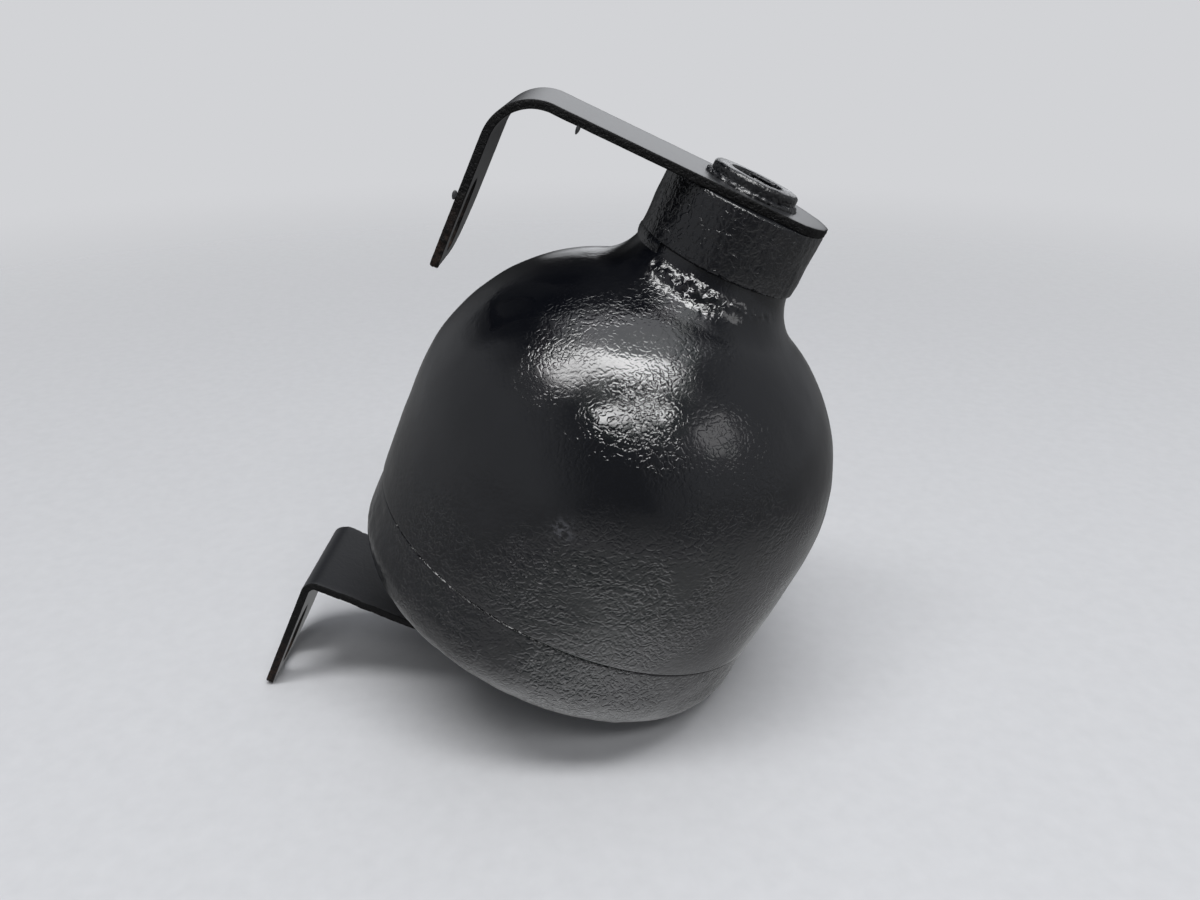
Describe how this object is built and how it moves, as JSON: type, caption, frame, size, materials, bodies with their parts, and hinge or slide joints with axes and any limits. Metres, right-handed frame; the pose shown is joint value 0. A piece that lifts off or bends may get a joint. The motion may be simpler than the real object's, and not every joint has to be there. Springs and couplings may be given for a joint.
{
  "type": "hydraulic suspension accumulator sphere",
  "caption": "Black steel gas-charged suspension sphere with a threaded oil port on a short neck and two L-shaped slotted mounting straps.",
  "frame": {"origin": "on the axis of the oil port, where the wall of the threaded hole starts below its mouth chamfer", "axes": "+Z along the axis and out of the port, -X the outward normal of the two legs' mounting plane, +Y the side of the legs' large corners"},
  "size_m": [0.1054, 0.1, 0.1596],
  "materials": {
    "shell_paint": "gloss black paint over pitted steel",
    "boss_paint": "satin black paint over turned steel",
    "strap_paint": "satin black paint over sheet steel, rust at the tips",
    "weld_paint": "gloss black paint over a weld bead",
    "plug_paint": "satin black paint",
    "ring_steel": "turned steel",
    "spring_steel": "rolled spring steel",
    "washer_steel": "stamped steel",
    "sintered_steel": "sintered steel",
    "rivet_brass": "turned brass",
    "button_aluminium": "turned aluminium",
    "diaphragm_rubber": "moulded rubber",
    "seal_rubber": "moulded rubber"
  },
  "bodies": {
    "root": {"upper_shell": "shell_paint", "lower_shell": "shell_paint", "port_boss": "boss_paint", "neck_weld": "weld_paint", "upper_bracket": "strap_paint", "upper_bracket_weld": "weld_paint", "lower_bracket": "strap_paint", "lower_bracket_weld": "weld_paint", "backing_ring": "ring_steel", "clamp_ring": "ring_steel", "diaphragm": "diaphragm_rubber", "diaphragm_button": "button_aluminium", "button_washer": "washer_steel", "damper_body": "sintered_steel", "damper_upper_leaf": "spring_steel", "damper_lower_leaf": "spring_steel", "damper_upper_washer": "washer_steel", "damper_lower_washer": "washer_steel", "damper_rivet": "rivet_brass", "damper_snap_ring": "spring_steel", "gas_plug": "plug_paint", "gas_plug_seal": "seal_rubber"}
  },
  "joints": []
}
